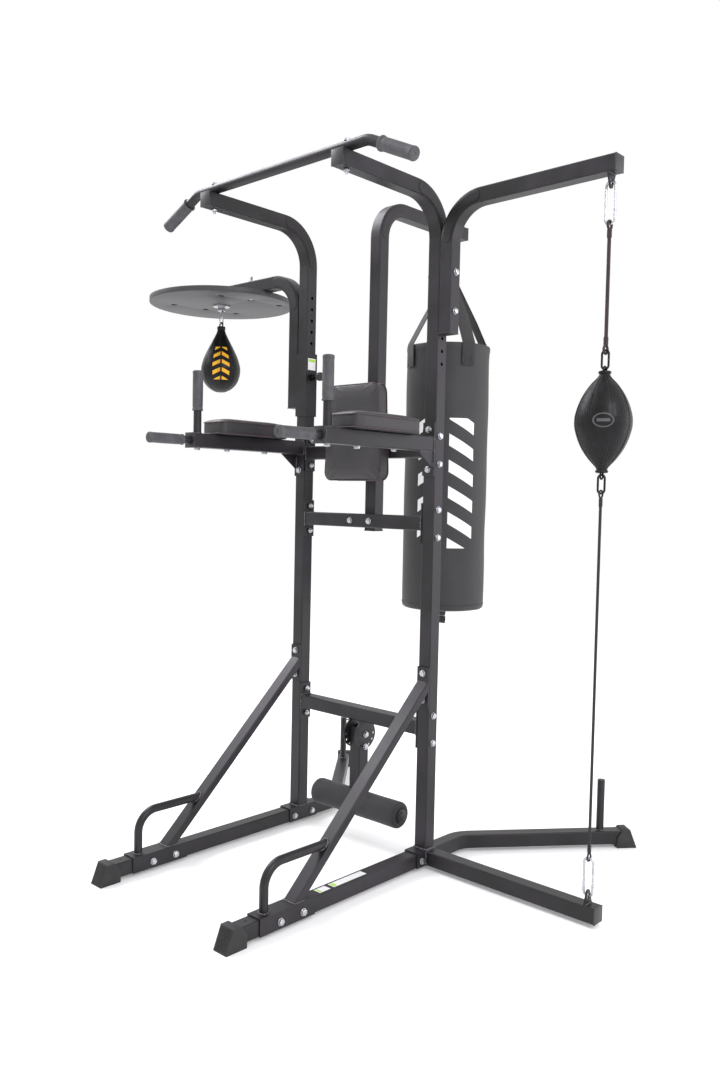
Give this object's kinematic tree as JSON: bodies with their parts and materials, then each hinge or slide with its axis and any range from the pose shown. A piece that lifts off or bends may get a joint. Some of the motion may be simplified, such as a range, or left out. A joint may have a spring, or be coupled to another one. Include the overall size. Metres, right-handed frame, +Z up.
{
  "type": "power tower",
  "caption": "Free-standing steel power tower with a pull-up bar, dip handles, padded back rest, push-up handles and hung speed, heavy and double-end punching bags.",
  "frame": {"origin": "floor level, under the middle of the model's box", "axes": "+X towards the double-end bag, -Y towards the dip handles and the front feet, +Z up"},
  "size_m": [1.9709, 1.4836, 2.145],
  "materials": {
    "powder_coat": "satin powder coat",
    "zinc": "bright zinc plate",
    "black_steel": "gloss black plate",
    "grip_rubber": "ribbed matte rubber",
    "foot_rubber": "matte rubber with a tread",
    "black_plastic": "fine texture",
    "roller_foam": "matte foam skin",
    "pad_vinyl": "grained vinyl",
    "board_paint": "painted board",
    "bag_leather": "glossy leather",
    "heavy_bag_vinyl": "coated fabric, satin",
    "webbing": "woven webbing",
    "elastic_cord": "woven sleeve"
  },
  "bodies": {
    "root": {"left_floor_tube": "powder_coat", "right_floor_tube": "powder_coat", "side_floor_tube": "powder_coat", "left_upright": "powder_coat", "right_upright": "powder_coat", "left_brace": "powder_coat", "right_brace": "powder_coat", "left_push_up_handle": "powder_coat", "right_push_up_handle": "powder_coat", "lower_crossbar": "powder_coat", "middle_crossbar": "powder_coat", "upper_crossbar": "powder_coat", "left_dip_arm": "powder_coat", "right_dip_arm": "powder_coat", "dip_handle_tubes": "powder_coat", "left_dip_grips": "grip_rubber", "right_dip_grips": "grip_rubber", "pull_up_bar": "powder_coat", "pull_up_grips": "grip_rubber", "heavy_bag_post": "powder_coat", "double_end_arm": "powder_coat", "bag_eyelets": "powder_coat", "rubber_feet": "foot_rubber", "tube_plugs": "black_plastic", "plate_posts": "powder_coat", "frame_bolts": "zinc", "nuts_and_washers": "zinc", "left_arm_pad": "pad_vinyl", "right_arm_pad": "pad_vinyl", "back_pad": "pad_vinyl", "index_plates": "powder_coat", "roller_hanger": "powder_coat", "roller_axle": "zinc", "roller_end_caps": "black_plastic"},
    "speed_carriage": {"platform_sleeve": "powder_coat", "liners_and_arm_plugs": "black_plastic", "platform_arm": "powder_coat", "platform_board": "board_paint", "platform_bolts": "zinc", "swivel_flange": "zinc", "pop_pin_barrel": "black_steel"},
    "pop_pin": {"pop_pin_knob": "black_plastic"},
    "swivel": {"swivel_ball": "zinc"},
    "speed_bag": {"speed_bag_hook": "zinc", "speed_bag": "bag_leather"},
    "left_roller": {"left_roller_foam": "roller_foam"},
    "right_roller": {"right_roller_foam": "roller_foam"},
    "heavy_carabiner": {"heavy_bag_carabiner": "zinc"},
    "heavy_gate": {"heavy_bag_gate": "zinc"},
    "heavy_bag": {"heavy_bag_straps": "webbing", "heavy_bag": "heavy_bag_vinyl"},
    "top_hook": {"top_snap_hook": "zinc"},
    "top_gate": {"top_hook_gate": "zinc"},
    "double_end_bag": {"upper_cord": "elastic_cord", "upper_clip": "black_steel", "double_end_bag": "bag_leather"},
    "floor_hook": {"floor_snap_hook": "zinc"},
    "floor_gate": {"floor_hook_gate": "zinc"},
    "lower_cord": {"lower_clip": "black_steel", "lower_cord": "elastic_cord"}
  },
  "joints": [
    {"name": "platform_height", "type": "slide", "parent": "root", "child": "speed_carriage", "axis": [0, 0, 1], "range_m": [0, 0.273]},
    {"name": "pop_pin_pull", "type": "slide", "parent": "speed_carriage", "child": "pop_pin", "axis": [1, 0, 0], "range_m": [-0.012, 0]},
    {"name": "swivel_turn", "type": "hinge", "parent": "speed_carriage", "child": "swivel", "pos_m": [-0.7155, 0.07725, 1.86], "axis": [0, 0, 1], "continuous": true},
    {"name": "speed_bag_swing", "type": "hinge", "parent": "swivel", "child": "speed_bag", "pos_m": [-0.7155, 0.07725, 1.86], "axis": [0, 1, 0], "range_deg": [-50, 50]},
    {"name": "left_roller_spin", "type": "hinge", "parent": "root", "child": "left_roller", "pos_m": [0.0465, 0.07725, 0.133], "axis": [1, 0, 0], "continuous": true},
    {"name": "right_roller_spin", "type": "hinge", "parent": "root", "child": "right_roller", "pos_m": [0.0465, 0.07725, 0.133], "axis": [1, 0, 0], "continuous": true},
    {"name": "heavy_bag_swing", "type": "hinge", "parent": "root", "child": "heavy_carabiner", "pos_m": [0.0465, 0.51224, 2.077], "axis": [1, 0, 0], "range_deg": [-11, 22]},
    {"name": "heavy_bag_sway", "type": "hinge", "parent": "heavy_carabiner", "child": "heavy_bag", "pos_m": [0.0465, 0.51224, 1.9815], "axis": [0, 1, 0], "range_deg": [-30, 30]},
    {"name": "heavy_gate_open", "type": "hinge", "parent": "heavy_carabiner", "child": "heavy_gate", "pos_m": [0.0465, 0.52975, 2.00933], "axis": [1, 0, 0], "range_deg": [0, 20], "stiffness_Nm_per_rad": 0.05},
    {"name": "top_hook_swing", "type": "hinge", "parent": "root", "child": "top_hook", "pos_m": [0.9085, 0.07725, 2.006], "axis": [1, 0, 0], "range_deg": [-4, 4], "stiffness_Nm_per_rad": 6},
    {"name": "double_end_bag_sway", "type": "hinge", "parent": "top_hook", "child": "double_end_bag", "pos_m": [0.9085, 0.07725, 1.8955], "axis": [0, 1, 0], "range_deg": [-3, 3], "stiffness_Nm_per_rad": 6},
    {"name": "top_gate_open", "type": "hinge", "parent": "top_hook", "child": "top_gate", "pos_m": [0.922, 0.07725, 1.93047], "axis": [0, -1, 0], "range_deg": [0, 20], "stiffness_Nm_per_rad": 0.03},
    {"name": "floor_hook_swing", "type": "hinge", "parent": "root", "child": "floor_hook", "pos_m": [0.9085, 0.07725, 0.077], "axis": [1, 0, 0], "range_deg": [-3, 3]},
    {"name": "lower_cord_sway", "type": "hinge", "parent": "floor_hook", "child": "lower_cord", "pos_m": [0.9085, 0.07725, 0.1835], "axis": [0, 1, 0], "range_deg": [-2.2, 2.2]},
    {"name": "floor_gate_open", "type": "hinge", "parent": "floor_hook", "child": "floor_gate", "pos_m": [0.922, 0.07725, 0.11047], "axis": [0, -1, 0], "range_deg": [0, 20], "stiffness_Nm_per_rad": 0.03}
  ],
  "couplings": [
    {"joint": "floor_hook_swing", "follows": "top_hook_swing", "ratio": -0.6701},
    {"joint": "lower_cord_sway", "follows": "double_end_bag_sway", "ratio": -0.6328}
  ]
}
